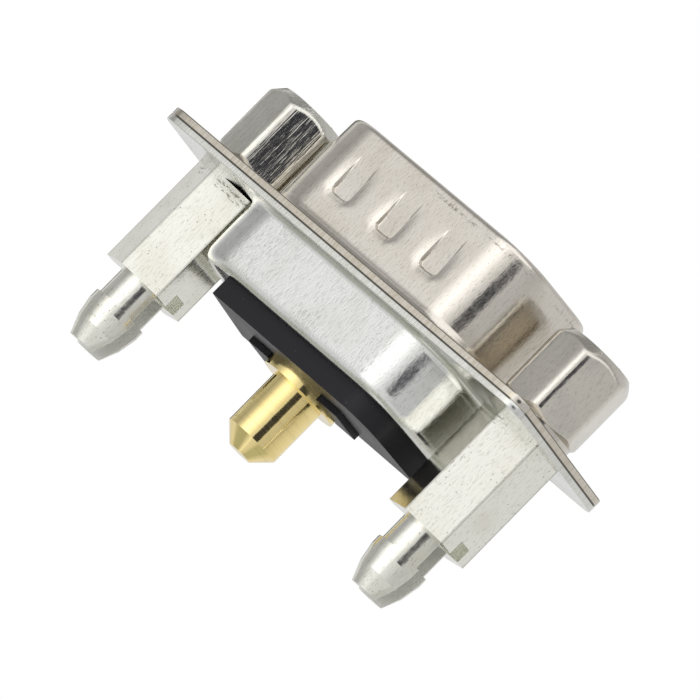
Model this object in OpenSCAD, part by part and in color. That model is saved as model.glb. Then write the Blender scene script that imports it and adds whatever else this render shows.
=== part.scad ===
// D-subminiature plug connector, size E, with one high-power contact.
//
// Frame: +Z is the mating direction, +X runs along the connector, and the narrow side of the
// D faces -Y. The origin lies midway between the two board-lock pins, in the plane of the
// printed board, which is where the rear faces of the hexagonal standoffs seat.

/* [Flange] */
// Distance from the plug shell's inside end to a mounting hole's axis
hole_margin = 4.035; // [3.9:0.005:5]
// Distance from a mounting hole's axis to the flange's end
flange_end = 2.91; // [2.7:0.01:4]
// Distance from the plug shell's inside to the flange's long edge
flange_side = 2.095; // [1.9:0.005:4]
// Radius of the flange's corners
flange_r = 1.2; // [0.6:0.1:2.4]
// Diameter of the mounting holes
hole_d = 3.1; // [3.0:0.05:3.4]

/* [Front shell] */
// Inside width of the plug shell, across its rounded ends
plug_w = 16.92; // [16.2:0.01:17.2]
// Inside height of the plug shell
plug_h = 8.36; // [8.1:0.01:8.9]
// Inside corner radius of the plug shell
plug_r = 2.59; // [2.3:0.01:2.9]
// Slant of the two ends of the D
side_angle = 10; // [6:0.5:14]
// Sheet thickness of the front shell
front_t = 0.45; // [0.3:0.01:0.6]
// Height of the plug shell above the flange's front face
plug_rise = 6.3; // [5.7:0.05:7.4]
// Outside radius of the bend where the plug shell leaves the flange
front_bend = 0.6; // [0.3:0.05:0.8]
// Rounding of the plug shell's outer rim
rim_round = 0.35; // [0.1:0.05:0.4]

/* [Grounding dimples] */
// Number of dimples on each long side
dimple_count = 3; // [2:1:3]
// Distance from one dimple to the next
dimple_pitch = 3.8; // [2.6:0.1:4.2]
// Width of a dimple
dimple_w = 1.4; // [0.8:0.1:2.0]
// Length of a dimple along the plug shell
dimple_l = 2.7; // [1.5:0.1:3.2]
// How far a dimple is pressed in at its step
dimple_depth = 0.3; // [0.1:0.05:0.4]
// Height of a dimple's step above the flange's front face
dimple_up = 2.2; // [1.6:0.1:2.6]

/* [Rear shell] */
// How far the rear cup's inside stands out beyond the plug shell's at each end
cup_wider = 0.74; // [0.6:0.01:0.9]
// How far the rear cup's inside stands out beyond the plug shell's on each long side
cup_higher = 0.77; // [0.6:0.01:0.95]
// Inside corner radius of the rear cup
cup_r = 2.8; // [2.4:0.05:3.2]
// Sheet thickness of the rear shell
rear_t = 0.40; // [0.25:0.01:0.5]
// Depth of the rear cup behind the plane where the two flanges meet
cup_depth = 4.6; // [4.2:0.05:5.2]
// Outside radius of the bend where the cup leaves the flange
rear_bend = 0.5; // [0.3:0.05:0.7]
// Inside radius of the bend at the cup's rear rim
lip_bend = 0.15; // [0.1:0.05:0.3]
// How far the rim reaches inwards from the cup's outside
lip = 0.85; // [0.75:0.05:1.1]

/* [Insulator] */
// Clearance between a moulding and the sheet or moulding it sits in
mould_gap = 0.05; // [0.02:0.01:0.08]
// Height of the front insulator's face above the flange's front face
face_rise = 1.0; // [0.6:0.1:1.6]
// Thickness of the front insulator inside the rear cup
front_half_t = 1.6; // [1.3:0.1:1.8]
// How far the rear block stands out behind the cup's rim
block_out = 1.3; // [0.9:0.05:1.7]
// Height at which the block is cut back on the far, wide side of the D
block_far_y = 1.8; // [1.2:0.1:2.6]
// Where the block's near corner is cut back towards the left
block_left_x = 5.6; // [5.0:0.1:6.0]
// Depth of the cut back below the rim
block_sink = 0.2; // [0.1:0.05:0.3]
// Length of the bar on the block's rear face
bar_l = 7.7; // [6.8:0.1:8.4]
// Width of the bar
bar_w = 2.8; // [2.0:0.1:4.0]
// Height of the bar
bar_h = 0.35; // [0.2:0.05:0.5]

/* [Power contact] */
// Diameter of the mating pin
pin_d = 3.6; // [3.4:0.05:3.8]
// Distance from the pin's tip down to the plug shell's rim
pin_below_rim = 0.8; // [0.4:0.1:1.4]
// Radius of the pin's rounded nose edge
nose_r = 1.3; // [0.6:0.1:1.5]
// Diameter of the contact's body in the insulator
body_d = 4.4; // [4.2:0.05:4.8]
// Running clearance round the contact, on the radius
contact_gap = 0.05; // [0.03:0.01:0.1]
// Diameter of the clip's groove
groove_d = 3.7; // [3.5:0.05:3.9]
// Length of the clip's groove
groove_l = 1.9; // [1.7:0.05:2.1]
// Diameter of the collar behind the block
collar_d = 5.05; // [4.9:0.05:5.6]
// Thickness of the collar
collar_t = 0.63; // [0.4:0.01:0.8]
// Diameter of the board tail
tail_d = 3.4; // [3.0:0.05:3.6]
// How far the tail reaches through the board plane
tail_out = 3.35; // [2.8:0.05:4.2]
// Diameter of the flat at the tail's tip
tail_tip_d = 1.5; // [1.0:0.05:1.8]

/* [Retention clip] */
// Sheet thickness of the clip
clip_t = 0.15; // [0.1:0.01:0.2]
// Diameter across the spread tines
clip_spread_d = 5.5; // [5.2:0.05:5.8]
// Clearance inside the clip and at its ends
clip_gap = 0.04; // [0.02:0.01:0.06]
// Number of slits that part the tines
clip_slits = 4; // [3:1:6]
// Width of a slit
clip_slit_w = 0.5; // [0.3:0.05:0.8]

/* [Board-lock standoffs] */
// Width across flats of a standoff
standoff_af = 4.76; // [4.5:0.01:4.9]
// Height of a standoff between the board and the flange
standoff_h = 7.3; // [7.0:0.05:8.5]
// Turn of the standoffs about their own axes
standoff_turn = -5; // [-30:1:30]
// Diameter of the split pin's neck
neck_d = 3.1; // [2.9:0.05:3.2]
// Length of the neck
neck_l = 1.8; // [1.2:0.05:2.6]
// Diameter across the barbs
barb_d = 3.5; // [3.4:0.05:3.8]
// Length of the barbs' land
barb_l = 0.55; // [0.3:0.05:0.8]
// Length of the taper behind the barbs
taper_l = 2.2; // [1.6:0.05:2.8]
// How far the taper bulges halfway along
taper_bulge = 0.12; // [0.05:0.01:0.2]
// Diameter at the split pin's tip
tip_d = 2.2; // [1.8:0.05:2.6]
// Width of the sawn slot
slot_w = 1.0; // [0.7:0.05:1.2]
// Depth of the sawn slot into the hexagon
slot_into_hex = 0.9; // [0.4:0.05:1.2]

/* [Screwlocks] */
// Width across flats of a screwlock
screwlock_af = 4.9; // [4.7:0.05:5.2]
// How far a screwlock's corners are turned down
corner_off_r = 0.05; // [0.03:0.01:0.12]
// Radius taken off a screwlock's front end by its 30 degree chamfer
front_chamfer = 0.5; // [0.2:0.05:0.7]
// Radius taken off its rear end
rear_chamfer = 0.35; // [0.1:0.05:0.5]
// Length of a screwlock's hexagon
screwlock_h = 4.95; // [4.8:0.05:6.0]
// Turn of the left screwlock about its axis
left_turn = 9; // [-30:1:30]
// Turn of the right screwlock about its axis
right_turn = 20; // [-30:1:30]
// Diameter of the screw thread, 4-40
thread_d = 2.84; // [2.7:0.01:2.95]
// Clearance round the stud in the standoff's bore, on the radius
thread_gap = 0.03; // [0.02:0.01:0.05]
// Depth of the threaded bore in a screwlock
thread_depth = 4.1; // [3.4:0.05:4.2]
// Length of a screwlock's stud below its hexagon
stud_l = 5.0; // [4.2:0.05:6.0]
// Clear depth of the standoff's bore beyond the stud
bore_spare = 0.5; // [0.3:0.05:0.8]

/* [Lock washers] */
// Outside diameter of a washer
washer_d = 4.9; // [4.4:0.05:5.2]
// Thickness of a washer
washer_t = 0.35; // [0.25:0.01:0.45]
// Clearance between the washer and the stud, on the radius
washer_gap = 0.1; // [0.05:0.01:0.15]
// Width of the washer's split
washer_split = 0.3; // [0.2:0.05:0.6]

/* [Hidden] */
$fn = 64;
lap = 0.02;                        // overlap that joins the stretches of one swept wall
cut = 1;                           // how far a cutter runs past what it cuts
ext = 40;                          // longer than anything that is cut
seam = 0.2;                        // flat of a flange that is swept with its bend
corner_in = 0.005;                 // how much a corner's wall is drawn in, to end inside the straight
hole_x = plug_w / 2 + hole_margin;
flange_l = 2 * (hole_x + flange_end);
flange_w = plug_h + 2 * flange_side;
cup_w = plug_w + 2 * cup_wider;
cup_h = plug_h + 2 * cup_higher;

// Heights, from the board plane upwards
part_z = standoff_h + rear_t;      // where the two flanges meet
front_z = part_z + front_t;        // front face of the flange
rim_z = front_z + plug_rise;       // rim of the plug shell
face_z = front_z + face_rise;      // face of the front insulator
half_z = part_z - front_half_t;    // where the two mouldings meet
lip_z = part_z - cup_depth;        // rear face of the cup's rim
block_z = lip_z - block_out;       // rear face of the block and seat of the collar
bar_z = block_z - bar_h;           // rear face of the bar
nut_z = front_z + washer_t;        // seat of a screwlock
pin_tip_z = rim_z - pin_below_rim;
groove_top_z = half_z;
groove_z = groove_top_z - groove_l;

plug_ro = plug_r + front_t;        // outside corner radius of the plug shell
cup_ro = cup_r + rear_t;           // outside corner radius of the cup
pocket_d = clip_spread_d + 2 * (contact_gap + clip_gap);

function d_corners(w, h, r) =
    let (cy = h / 2 - r, wide = w / 2 - r, narrow = wide - 2 * cy * tan(side_angle))
    [[wide, cy, -side_angle, 90 + side_angle], [-wide, cy, 90, 90 + side_angle],
     [-narrow, -cy, 180 + side_angle, 90 - side_angle], [narrow, -cy, 270, 90 - side_angle]];
function run(c, i) =
    let (p = c[i], q = c[(i + 1) % 4]) norm([q[0] - p[0], q[1] - p[1]]);

plug_c = d_corners(plug_w, plug_h, plug_r);
cup_c = d_corners(cup_w, cup_h, cup_r);

// ---- shared shapes ----

// Sweeps a wall's profile round the D: the first child on the straights, the second round
// the corners. A profile's X is the distance from a corner's centre.
module d_sweep(c) {
    for (i = [0 : 3]) {
        translate([c[i][0], c[i][1], 0]) rotate(c[i][2] + c[i][3]) rotate([90, 0, 0])
            translate([0, 0, -run(c, i) - lap]) linear_extrude(run(c, i) + 2 * lap) children(0);
        translate([c[i][0], c[i][1], 0]) rotate(c[i][2]) rotate_extrude(angle = c[i][3]) children(1);
    }
}

// Flat D whose corners have radius r about the same centres.
module d_flat(c, r) {
    polygon([for (p = c) [p[0], p[1]]]);
    for (i = [0 : 3]) {
        translate([c[i][0], c[i][1]]) circle(r);
        translate([c[i][0], c[i][1]]) rotate(c[i][2] + c[i][3]) translate([-lap, -lap])
            square([r + lap, run(c, i) + 2 * lap]);
    }
}

module d_prism(c, r, z0, z1) {
    translate([0, 0, z0]) linear_extrude(z1 - z0) d_flat(c, r);
}

module rounded_plate(l, w, r, z0, z1) {
    translate([0, 0, z0]) linear_extrude(z1 - z0) {
        square([l - 2 * r, w], center = true);
        square([l, w - 2 * r], center = true);
        for (sx = [-1, 1], sy = [-1, 1]) translate([sx * (l / 2 - r), sy * (w / 2 - r)]) circle(r);
    }
}

module tube_cut(d, z0, z1) {
    translate([0, 0, z0]) cylinder(d = d, h = z1 - z0);
}

module hex_bar(af, z0, z1) {
    translate([0, 0, z0]) rotate(30) cylinder(d = 2 * af / sqrt(3), h = z1 - z0, $fn = 6);
}

// ---- shells ----

// What rounding a corner takes off: the square beyond a quarter disc about the origin.
module corner_off(r) {
    difference() {
        square(r + cut);
        circle(r);
    }
}

// Sheet of thickness t bent to an inside radius r, its outer corner at the origin left sharp.
module bend(t, r) {
    difference() {
        square(t + r);
        translate([t + r, t + r]) circle(r);
    }
}

// Section of the plug shell's wall: bend at the flange, straight wall, rounded rim. It is
// drawn in by s on all sides.
module plug_profile(s) {
    back_r = front_t + front_bend;
    difference() {
        union() {
            translate([plug_r + s, part_z + s]) square([front_t - 2 * s, plug_rise + front_t - 2 * s]);
            translate([plug_r + s, part_z + s]) square([back_r + seam, front_t - 2 * s]);
            translate([plug_r + s, part_z + s]) bend(front_t - 2 * s, front_bend + s);
        }
        translate([plug_ro - rim_round, rim_z - rim_round]) corner_off(rim_round - s);
        translate([plug_r + back_r, part_z + back_r]) rotate(180) corner_off(back_r - s);
    }
}

// Section through a dimple: full depth at the step, running out towards the rim.
module dimple_section() {
    polygon([[0, 0], [dimple_depth, 0], [0, dimple_l]]);
}

module dimple_row() {
    for (i = [0 : dimple_count - 1])
        translate([(i - (dimple_count - 1) / 2) * dimple_pitch - dimple_w / 2, 0, 0])
            rotate([90, 0, 90]) linear_extrude(dimple_w) dimple_section();
}

module on_long_sides(y, z) {
    for (turn = [0, 180]) rotate(turn) translate([0, -y, z]) children();
}

module flange_holes() {
    for (sx = [-1, 1]) translate([sx * hole_x, 0, 0]) tube_cut(hole_d, 0, front_z + cut);
}

module front_shell() color([0.74, 0.72, 0.66]) {
    dimple_z = front_z + dimple_up;
    difference() {
        union() {
            d_sweep(plug_c) {
                plug_profile(0);
                plug_profile(corner_in);
            }
            difference() {
                rounded_plate(flange_l, flange_w, flange_r, part_z, front_z);
                d_prism(plug_c, plug_ro + front_bend + lap, part_z - cut, front_z + cut);
            }
            on_long_sides(plug_h / 2 + lap, dimple_z) dimple_row();
        }
        on_long_sides(plug_h / 2 + front_t, dimple_z) dimple_row();
        flange_holes();
    }
}

// Section of the rear cup: bend at the flange, straight wall, rim turned inwards. It is
// drawn in by s on all sides.
module cup_profile(s) {
    mouth_r = rear_t + rear_bend;
    rim_r = rear_t + lip_bend;
    t = rear_t - 2 * s;
    difference() {
        union() {
            translate([cup_r + s, lip_z + s]) square([t, cup_depth - 2 * s]);
            translate([cup_r + s, standoff_h + s]) square([mouth_r + seam, t]);
            translate([cup_r + s, part_z - s]) mirror([0, 1]) bend(t, rear_bend + s);
            translate([cup_ro - lip + s, lip_z + s]) square([lip - 2 * s, t]);
            translate([cup_ro - s, lip_z + s]) mirror([1, 0]) bend(t, lip_bend + s);
        }
        translate([cup_r + mouth_r, part_z - mouth_r]) rotate(90) corner_off(mouth_r - s);
        translate([cup_ro - rim_r, lip_z + rim_r]) rotate(-90) corner_off(rim_r - s);
    }
}

module rear_shell() color([0.86, 0.86, 0.84]) {
    difference() {
        union() {
            d_sweep(cup_c) {
                cup_profile(0);
                cup_profile(corner_in);
            }
            difference() {
                rounded_plate(flange_l, flange_w, flange_r, standoff_h, part_z);
                d_prism(cup_c, cup_ro + rear_bend + lap, standoff_h - cut, part_z + cut);
            }
        }
        flange_holes();
    }
}

// ---- insulator ----

module front_insulator() color([0.13, 0.13, 0.14]) {
    difference() {
        union() {
            d_prism(plug_c, plug_r - mould_gap, part_z - lap, face_z);
            d_prism(cup_c, cup_r - mould_gap, half_z, part_z);
        }
        tube_cut(body_d + 2 * contact_gap, half_z - cut, face_z + cut);
    }
}

// Outline of the block: the cup's opening, cut back on the left and on the wide side.
module block_outline(r) {
    slope = tan(side_angle);
    near_y = -(cup_h / 2 - cup_r) - r;
    intersection() {
        d_flat(cup_c, r);
        polygon([[-block_left_x + slope * cut, near_y - cut], [ext, near_y - cut], [ext, block_far_y],
            [-block_left_x - slope * (block_far_y - near_y), block_far_y]]);
    }
}

module rear_insulator() color([0.16, 0.16, 0.17]) {
    neck_r = cup_ro - lip - mould_gap;
    floor_z = lip_z + rear_t + mould_gap;
    body_bore = body_d + 2 * contact_gap;
    difference() {
        union() {
            d_prism(cup_c, cup_r - mould_gap, floor_z + lip_bend, half_z);
            d_prism(cup_c, cup_r - mould_gap - lip_bend, floor_z, floor_z + lip_bend + lap);
            d_prism(cup_c, neck_r, lip_z + block_sink, floor_z + lap);
            translate([0, 0, block_z]) linear_extrude(block_out + block_sink + lap) block_outline(neck_r);
            translate([-bar_l / 2, -bar_w / 2, bar_z]) cube([bar_l, bar_w, bar_h + lap]);
        }
        tube_cut(body_bore, block_z - cut, half_z + cut);
        tube_cut(collar_d + 2 * contact_gap, bar_z - cut, block_z);
        tube_cut(pocket_d, groove_z, half_z + cut);
    }
}

// ---- contact ----

module power_contact() color([0.85, 0.68, 0.30]) {
    collar_z = block_z - collar_t;
    taper = (tail_d - tail_tip_d) / 2;
    edge = pin_d / 2 - nose_r;
    rotate_extrude() {
        polygon([[0, -tail_out], [tail_tip_d / 2, -tail_out], [tail_d / 2, -tail_out + taper],
            [tail_d / 2, collar_z], [collar_d / 2, collar_z], [collar_d / 2, block_z], [body_d / 2, block_z],
            [body_d / 2, groove_z], [groove_d / 2, groove_z], [groove_d / 2, groove_top_z],
            [body_d / 2, groove_top_z], [body_d / 2, face_z], [pin_d / 2, face_z],
            [pin_d / 2, pin_tip_z - nose_r], [0, pin_tip_z - nose_r]]);
        translate([0, pin_tip_z - nose_r - lap]) square([edge, nose_r + lap]);
        intersection() {
            translate([edge, pin_tip_z - nose_r]) circle(nose_r);
            translate([edge - lap, pin_tip_z - nose_r - lap]) square(nose_r + cut);
        }
    }
}

// Slit sleeve in the contact's groove, its tines spread towards the rear.
module retention_clip() color([0.80, 0.66, 0.36]) {
    in_r = groove_d / 2 + clip_gap;
    top_z = groove_top_z - clip_gap;
    low_z = groove_z + clip_gap;
    knee_z = top_z - groove_l / 3;
    spread_r = clip_spread_d / 2;
    difference() {
        rotate_extrude() polygon([[in_r, top_z], [in_r, knee_z], [spread_r - clip_t, low_z],
            [spread_r, low_z], [in_r + clip_t, knee_z], [in_r + clip_t, top_z]]);
        for (i = [0 : clip_slits - 1]) rotate(i * 360 / clip_slits)
            translate([0, -clip_slit_w / 2, low_z - cut]) cube([ext, clip_slit_w, knee_z - low_z + cut]);
        translate([0, -clip_slit_w / 2, knee_z - lap]) cube([ext, clip_slit_w, groove_l]);
    }
}

// ---- fasteners ----

module standoff() {
    bore_z = front_z + washer_t - stud_l - bore_spare;
    taper_z = -neck_l - barb_l;
    difference() {
        union() {
            rotate(standoff_turn) hex_bar(standoff_af, 0, standoff_h);
            rotate_extrude() polygon([[0, lap], [neck_d / 2, lap], [neck_d / 2, -neck_l],
                [barb_d / 2, -neck_l], [barb_d / 2, taper_z],
                [(barb_d + tip_d) / 4 + taper_bulge, taper_z - taper_l / 2],
                [tip_d / 2, taper_z - taper_l], [0, taper_z - taper_l]]);
        }
        tube_cut(thread_d + 2 * thread_gap, bore_z, standoff_h + cut);
        translate([-ext / 2, -slot_w / 2, slot_into_hex - ext]) cube([ext, slot_w, ext]);
    }
}

module standoff_left() color([0.84, 0.84, 0.82]) translate([-hole_x, 0, 0]) standoff();

module standoff_right() color([0.84, 0.84, 0.82]) translate([hole_x, 0, 0]) standoff();

// Hexagon of a screwlock: its corners turned down a little, both ends chamfered at 30 degrees.
module turned_hex(z0, z1) {
    r = screwlock_af / sqrt(3) - corner_off_r;
    slope = tan(30);
    intersection() {
        hex_bar(screwlock_af, z0, z1);
        rotate_extrude() polygon([[0, z0], [r - rear_chamfer, z0], [r, z0 + rear_chamfer * slope],
            [r, z1 - front_chamfer * slope], [r - front_chamfer, z1], [0, z1]]);
    }
}

module screwlock(turn) {
    top_z = nut_z + screwlock_h;
    bore_r = thread_d / 2;
    difference() {
        union() {
            rotate(turn) turned_hex(nut_z, top_z);
            translate([0, 0, nut_z - stud_l]) cylinder(d = thread_d, h = stud_l + lap);
        }
        tube_cut(thread_d, top_z - thread_depth, top_z + cut);
        translate([0, 0, top_z - thread_depth - bore_r / 2]) cylinder(r1 = 0, r2 = bore_r, h = bore_r / 2);
    }
}

module screwlock_left() color([0.72, 0.70, 0.65]) translate([-hole_x, 0, 0]) screwlock(left_turn);

module screwlock_right() color([0.72, 0.70, 0.65]) translate([hole_x, 0, 0]) screwlock(right_turn);

module lock_washer() {
    difference() {
        translate([0, 0, front_z]) cylinder(d = washer_d, h = washer_t);
        tube_cut(thread_d + 2 * washer_gap, front_z - cut, front_z + washer_t + cut);
        rotate(-80) translate([0, -washer_split / 2, front_z - cut])
            cube([ext, washer_split, washer_t + 2 * cut]);
    }
}

module lock_washer_left() color([0.78, 0.77, 0.74]) translate([-hole_x, 0, 0]) lock_washer();

module lock_washer_right() color([0.78, 0.77, 0.74]) translate([hole_x, 0, 0]) lock_washer();

front_shell();
rear_shell();
front_insulator();
rear_insulator();
power_contact();
retention_clip();
standoff_left();
standoff_right();
screwlock_left();
screwlock_right();
lock_washer_left();
lock_washer_right();
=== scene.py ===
"""Dresses the D-sub power connector: drawn plated shells, turned hardware, mouldings and a gold contact."""

import logging
import math
from collections.abc import Callable
from dataclasses import dataclass, field
from enum import Enum
from typing import Any

import bpy
import numpy as np
from mathutils import Matrix, Vector
from mathutils.geometry import delaunay_2d_cdt


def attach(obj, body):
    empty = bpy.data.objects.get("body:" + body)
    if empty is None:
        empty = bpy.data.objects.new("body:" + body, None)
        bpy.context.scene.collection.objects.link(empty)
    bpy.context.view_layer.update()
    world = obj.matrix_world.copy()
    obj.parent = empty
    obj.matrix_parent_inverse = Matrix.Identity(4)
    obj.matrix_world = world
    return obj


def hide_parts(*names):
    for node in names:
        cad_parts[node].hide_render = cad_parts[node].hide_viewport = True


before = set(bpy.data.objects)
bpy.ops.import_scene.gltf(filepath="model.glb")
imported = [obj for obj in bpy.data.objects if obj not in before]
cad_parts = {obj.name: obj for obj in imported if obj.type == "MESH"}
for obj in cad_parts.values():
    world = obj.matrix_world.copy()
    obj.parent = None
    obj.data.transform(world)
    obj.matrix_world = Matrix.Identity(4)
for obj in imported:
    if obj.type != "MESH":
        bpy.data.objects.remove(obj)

log = logging.getLogger("connector")
MM = 0.001
WELD = 1e-6  # points closer than this, in millimetres, are one
STRAIGHT = 1e-4  # how far a unit normal may lean on a straight wall
Array = np.ndarray
Pair = tuple[float, float]
Triple = tuple[float, float, float]


def smooth(lo: float, hi: float, value: Array) -> Array:
    """Smooth step of value from 0 at lo to 1 at hi: 3 t^2 - 2 t^3 with t clamped to 0..1."""
    t = np.clip((value - lo) / (hi - lo), 0.0, 1.0)
    return t * t * (3.0 - 2.0 * t)


# ---- shader maths -------------------------------------------------------------------------


class Value:
    """A shader number whose arithmetic adds Math nodes to its graph."""

    def __init__(self, graph: "Graph", socket: bpy.types.NodeSocket) -> None:
        """Wraps a float socket of the graph."""
        self.graph = graph
        self.socket = socket

    def _math(self, operation: str, *operands: "Value | float") -> "Value":
        """Adds one Math node.

        Args:
            operation: the Math node's operation.
            operands: its inputs in order, as values or numbers.

        Returns:
            The node's result.
        """
        node = self.graph.node("ShaderNodeMath", {"operation": operation}, dict(enumerate(operands)))
        return Value(self.graph, node.outputs["Value"])

    def __add__(self, other: "Value | float") -> "Value":
        """Sum."""
        return self._math("ADD", self, other)

    def __sub__(self, other: "Value | float") -> "Value":
        """Difference."""
        return self._math("SUBTRACT", self, other)

    def __rsub__(self, other: "Value | float") -> "Value":
        """Difference from a number."""
        return self._math("SUBTRACT", other, self)

    def __mul__(self, other: "Value | float") -> "Value":
        """Product."""
        return self._math("MULTIPLY", self, other)

    def __pow__(self, other: "Value | float") -> "Value":
        """Power."""
        return self._math("POWER", self, other)

    def size(self) -> "Value":
        """Absolute value."""
        return self._math("ABSOLUTE", self)

    def most(self, other: "Value | float") -> "Value":
        """The greater of the two."""
        return self._math("MAXIMUM", self, other)

    def least(self, other: "Value | float") -> "Value":
        """The lesser of the two."""
        return self._math("MINIMUM", self, other)

    __radd__ = __add__
    __rmul__ = __mul__

    def bearing(self, x: "Value") -> "Value":
        """Angle in radians from the x axis, with this value as y."""
        return self._math("ARCTAN2", self, x)

    def step(self, lo: float, hi: float) -> "Value":
        """Smooth step between two values.

        Args:
            lo: where it is 0.
            hi: where it is 1, above or below lo.

        Returns:
            The step.
        """
        a, b, y0, y1 = (lo, hi, 0.0, 1.0) if lo < hi else (hi, lo, 1.0, 0.0)
        node = self.graph.node(
            "ShaderNodeMapRange",
            {"interpolation_type": "SMOOTHSTEP"},
            {"Value": self, "From Min": a, "From Max": b, "To Min": y0, "To Max": y1},
        )
        return Value(self.graph, node.outputs["Result"])


class Graph:
    """Builds a node tree from typed helpers."""

    def __init__(self, tree: bpy.types.NodeTree) -> None:
        """Clears the tree."""
        self.tree = tree
        tree.nodes.clear()

    def node(
        self, kind: str, settings: dict[str, Any] | None = None, inputs: dict[Any, Any] | None = None
    ) -> bpy.types.Node:
        """Adds one node.

        Args:
            kind: the node's type.
            settings: its properties, set before the sockets; "stops" holds a ramp's stops.
            inputs: values, links or Values for its sockets, by name or number.

        Returns:
            The node.
        """
        node = self.tree.nodes.new(kind)
        for key, value in (settings or {}).items():
            if key == "stops":
                ramp = node.color_ramp
                for at, colour in value[2:]:
                    ramp.elements.new(at)
                for element, (at, colour) in zip(ramp.elements, sorted(value)):
                    element.position = at
                    element.color = (*colour, 1.0)
            else:
                setattr(node, key, value)
        for key, value in (inputs or {}).items():
            socket = node.inputs[key]
            if isinstance(value, Value):
                value = value.socket
            if isinstance(value, bpy.types.NodeSocket):
                self.tree.links.new(value, socket)
            else:
                socket.default_value = value
        return node

    def place(self, scale: Triple = (1.0, 1.0, 1.0)) -> bpy.types.NodeSocket:
        """Object coordinates, each multiplied by its part of scale.

        Args:
            scale: a low number draws a pattern out along that axis.

        Returns:
            The coordinates.
        """
        coord = self.node("ShaderNodeTexCoord")
        mapping = self.node("ShaderNodeMapping", None, {"Vector": coord.outputs["Object"], "Scale": scale})
        return mapping.outputs["Vector"]

    def axis(self, index: int) -> Value:
        """One object coordinate in metres: 0 is X, 1 is Y, 2 is Z."""
        split = self.node("ShaderNodeSeparateXYZ", None, {0: self.place()})
        return Value(self, split.outputs[index])

    def noise(
        self, vector: bpy.types.NodeSocket, scale: float, detail: float = 2.0, rough: float = 0.5
    ) -> Value:
        """Noise of about 0..1.

        Args:
            vector: where it is read.
            scale: features per metre.
            detail: number of finer layers.
            rough: strength of each finer layer over the one before.

        Returns:
            The noise.
        """
        inputs = {"Vector": vector, "Scale": scale, "Detail": detail, "Roughness": rough}
        node = self.node("ShaderNodeTexNoise", None, inputs)
        return Value(self, node.outputs[0])

    def cells(self, vector: bpy.types.NodeSocket, scale: float) -> Value:
        """Distance to the nearest of scattered points, in cell widths."""
        node = self.node("ShaderNodeTexVoronoi", None, {"Vector": vector, "Scale": scale})
        return Value(self, node.outputs["Distance"])

    def mix(self, factor: "Value | float", a: Any, b: Any, blend: str = "MIX") -> bpy.types.NodeSocket:
        """Mixes two colours.

        Args:
            factor: 0 gives a.
            a: first colour, as three numbers or a link.
            b: second colour.
            blend: what 1 gives: b itself with MIX, a times b with MULTIPLY.

        Returns:
            The mixed colour.
        """
        full = [(*c, 1.0) if isinstance(c, tuple) else c for c in (a, b)]
        settings = {"data_type": "RGBA", "blend_type": blend}
        node = self.node("ShaderNodeMix", settings, {0: factor, 6: full[0], 7: full[1]})
        return node.outputs[2]

    def bump(self, height: Value, distance: float, below: Any = None) -> bpy.types.NodeSocket:
        """Tilts the normal as a raised surface would.

        Args:
            height: the relief, 0..1.
            distance: how high 1 stands, in metres.
            below: normal of the coarser relief under it.

        Returns:
            The normal.
        """
        inputs = {"Height": height, "Distance": distance, "Strength": 1.0}
        if below is not None:
            inputs["Normal"] = below
        return self.node("ShaderNodeBump", None, inputs).outputs["Normal"]


def blank(name: str) -> tuple[bpy.types.Material, Graph]:
    """Makes an empty material.

    Args:
        name: its name.

    Returns:
        The material, and the graph to build it with.
    """
    made = bpy.data.materials.new(name)
    made.use_nodes = True
    return made, Graph(made.node_tree)


# ---- pressed sheet ------------------------------------------------------------------------


def line(start: Pair, end: Pair, count: int = 2) -> Array:
    """Points p(t) = start + t (end - start) for count values of t from 0 to 1."""
    return np.linspace(start, end, count)


def arc(centre: Pair, radius: float, start: float, end: float, count: int, tall: float = 0.0) -> Array:
    """Points centre + (radius cos a, h sin a), a in degrees from start to end.

    Args:
        centre: the arc's centre.
        radius: its half width.
        start: first angle.
        end: last angle.
        count: number of points.
        tall: its half height h, or 0 for a circle.

    Returns:
        The points, one to a row.
    """
    a = np.radians(np.linspace(start, end, count))
    return np.stack((centre[0] + radius * np.cos(a), centre[1] + (tall or radius) * np.sin(a)), axis=1)


def stations(lo: float, hi: float, coarse: float, fine: float, near: list[float], reach: float) -> Array:
    """Places the rows or columns of a grid, closer together where the shape needs it.

    Args:
        lo: first value.
        hi: last value.
        coarse: usual gap.
        fine: gap near the values in near.
        near: where fine gaps are needed.
        reach: how far to each side of them.

    Returns:
        The sorted values, the first lo and the last hi.
    """
    parts = [np.linspace(lo, hi, max(2, int((hi - lo) / coarse) + 1))]
    for value in near:
        parts.append(np.arange(value - reach, value + reach, fine))
    least_gap = 0.4 * fine
    merged = np.unique(np.round(np.concatenate(parts) / least_gap)) * least_gap
    inner = merged[(merged > lo + 0.5 * fine) & (merged < hi - 0.5 * fine)]
    return np.concatenate(([lo], inner, [hi]))


def bowed(z: Array, lo: float, hi: float, bow: float) -> Array:
    """Offset -b u^2 of a wall whose middle stands out, with u from -1 at lo to 1 at hi."""
    u = (z - (lo + hi) / 2.0) / ((hi - lo) / 2.0)
    return -bow * u**2


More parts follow.
